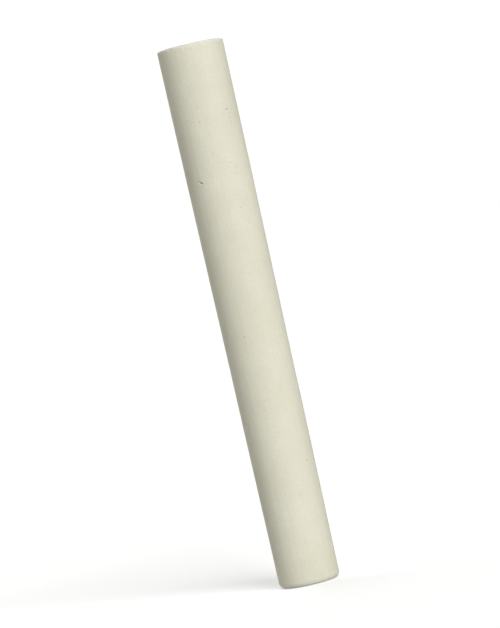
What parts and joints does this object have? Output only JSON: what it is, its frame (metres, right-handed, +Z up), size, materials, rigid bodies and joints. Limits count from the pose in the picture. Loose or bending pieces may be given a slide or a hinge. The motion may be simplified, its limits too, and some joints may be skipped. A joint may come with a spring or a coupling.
{
  "type": "chalk stick",
  "caption": "Slim round stick of moulded white chalk, with flat ends, softly rounded rims and a slight taper, for writing on a board by hand.",
  "frame": {"origin": "centre of the narrow end's flat face, which is the face that the stick stands on", "axes": "+Z up along the stick's axis, from the narrow end to the wide end; X and Y across it, with the small nick in the side at 234 degrees from +X towards +Y"},
  "size_m": [0.0098, 0.0098, 0.08],
  "materials": {
    "chalk": "matte"
  },
  "bodies": {
    "root": {"chalk_stick": "chalk"}
  },
  "joints": []
}
